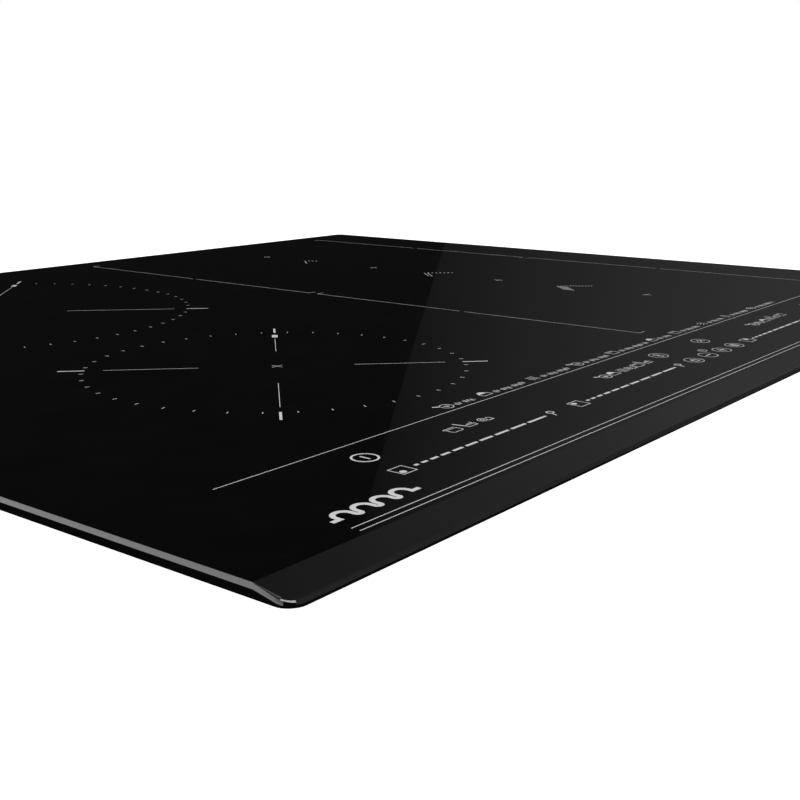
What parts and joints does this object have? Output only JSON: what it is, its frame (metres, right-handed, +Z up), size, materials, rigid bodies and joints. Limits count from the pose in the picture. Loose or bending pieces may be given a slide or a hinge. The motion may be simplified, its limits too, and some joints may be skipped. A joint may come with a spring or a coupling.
{
  "type": "induction cooktop",
  "caption": "Built-in induction cooktop: black glass with a bevelled front edge on a stepped steel casing, with coils, blowers, touch controls and swivel clamps.",
  "frame": {"origin": "the middle of the casing's underside, which is the middle of the bounding box's bottom", "axes": "+X right along the front edge, +Y to the back, +Z up; the user stands at -Y"},
  "size_m": [0.6, 0.51, 0.055],
  "materials": {
    "glass_black": "polished black glass ceramic",
    "foam_black": "black closed-cell foam tape",
    "galvanised": "galvanised sheet steel",
    "aluminium": "mill finish",
    "zinc_plated": "zinc-plated steel",
    "copper": "enamelled copper litz",
    "ferrite_grey": "sintered ferrite",
    "mica": "mica sheet",
    "plastic_black": "moulded, fine matt",
    "plastic_white": "moulded, fine matt",
    "plastic_grey": "moulded, fine matt",
    "sleeve_white": "braided glass sleeve",
    "ribbon_grey": "ribbed flat cable",
    "board_green": "lacquered circuit board"
  },
  "bodies": {
    "hob": {"board_tray": "plastic_white", "bottom_casing": "galvanised", "clamp_screw_front_left": "zinc_plated", "clamp_screw_front_right": "zinc_plated", "clamp_screw_rear_left": "zinc_plated", "clamp_screw_rear_right": "zinc_plated", "coil_carrier_flex_1": "plastic_black", "coil_carrier_flex_2": "plastic_black", "coil_carrier_flex_3": "plastic_black", "coil_carrier_flex_4": "plastic_black", "coil_carrier_front_left": "plastic_black", "coil_carrier_rear_left": "plastic_black", "coil_lead_flex_1": "sleeve_white", "coil_lead_flex_2": "sleeve_white", "coil_lead_flex_3": "sleeve_white", "coil_lead_flex_4": "sleeve_white", "coil_lead_front_left": "sleeve_white", "coil_lead_rear_left": "sleeve_white", "coil_support_plate": "aluminium", "coil_winding_flex_1": "copper", "coil_winding_flex_2": "copper", "coil_winding_flex_3": "copper", "coil_winding_flex_4": "copper", "coil_winding_front_left": "copper", "coil_winding_rear_left": "copper", "fan_housing_left": "plastic_black", "fan_housing_right": "plastic_black", "ferrite_flex_1": "ferrite_grey", "ferrite_flex_2": "ferrite_grey", "ferrite_flex_3": "ferrite_grey", "ferrite_flex_4": "ferrite_grey", "ferrite_front_left": "ferrite_grey", "ferrite_rear_left": "ferrite_grey", "glass_panel": "glass_black", "heat_sink_left": "aluminium", "heat_sink_right": "aluminium", "insulation_sheet_flex": "mica", "insulation_sheet_front_left": "mica", "insulation_sheet_rear_left": "mica", "mains_lead": "sleeve_white", "power_board_left": "board_green", "power_board_right": "board_green", "ribbon_cable": "ribbon_grey", "seal_tape": "foam_black", "temperature_sensor_flex_1": "plastic_white", "temperature_sensor_flex_2": "plastic_white", "temperature_sensor_flex_3": "plastic_white", "temperature_sensor_flex_4": "plastic_white", "temperature_sensor_front_left": "plastic_white", "temperature_sensor_rear_left": "plastic_white", "terminal_block": "plastic_white", "terminal_cover": "plastic_black", "touch_board": "board_green", "touch_holder": "plastic_black"},
    "rotor_left": {"fan_impeller_left": "plastic_grey"},
    "rotor_right": {"fan_impeller_right": "plastic_grey"},
    "clamp_front_left": {"clamp_front_left": "zinc_plated"},
    "clamp_front_right": {"clamp_front_right": "zinc_plated"},
    "clamp_rear_left": {"clamp_rear_left": "zinc_plated"},
    "clamp_rear_right": {"clamp_rear_right": "zinc_plated"}
  },
  "joints": [
    {"name": "fan_left_spin", "type": "hinge", "parent": "hob", "child": "rotor_left", "pos_m": [-0.125, 0.176, 0.014], "axis": [0, 0, 1], "continuous": true},
    {"name": "fan_right_spin", "type": "hinge", "parent": "hob", "child": "rotor_right", "pos_m": [0.125, 0.176, 0.014], "axis": [0, 0, 1], "continuous": true},
    {"name": "clamp_front_left_swing", "type": "hinge", "parent": "hob", "child": "clamp_front_left", "pos_m": [-0.263, -0.15, 0.0123], "axis": [0, 0, 1], "range_deg": [0, 90]},
    {"name": "clamp_front_right_swing", "type": "hinge", "parent": "hob", "child": "clamp_front_right", "pos_m": [0.263, -0.15, 0.0123], "axis": [0, 0, -1], "range_deg": [0, 90]},
    {"name": "clamp_rear_left_swing", "type": "hinge", "parent": "hob", "child": "clamp_rear_left", "pos_m": [-0.263, 0.15, 0.0123], "axis": [0, 0, -1], "range_deg": [0, 90]},
    {"name": "clamp_rear_right_swing", "type": "hinge", "parent": "hob", "child": "clamp_rear_right", "pos_m": [0.263, 0.15, 0.0123], "axis": [0, 0, 1], "range_deg": [0, 90]}
  ]
}
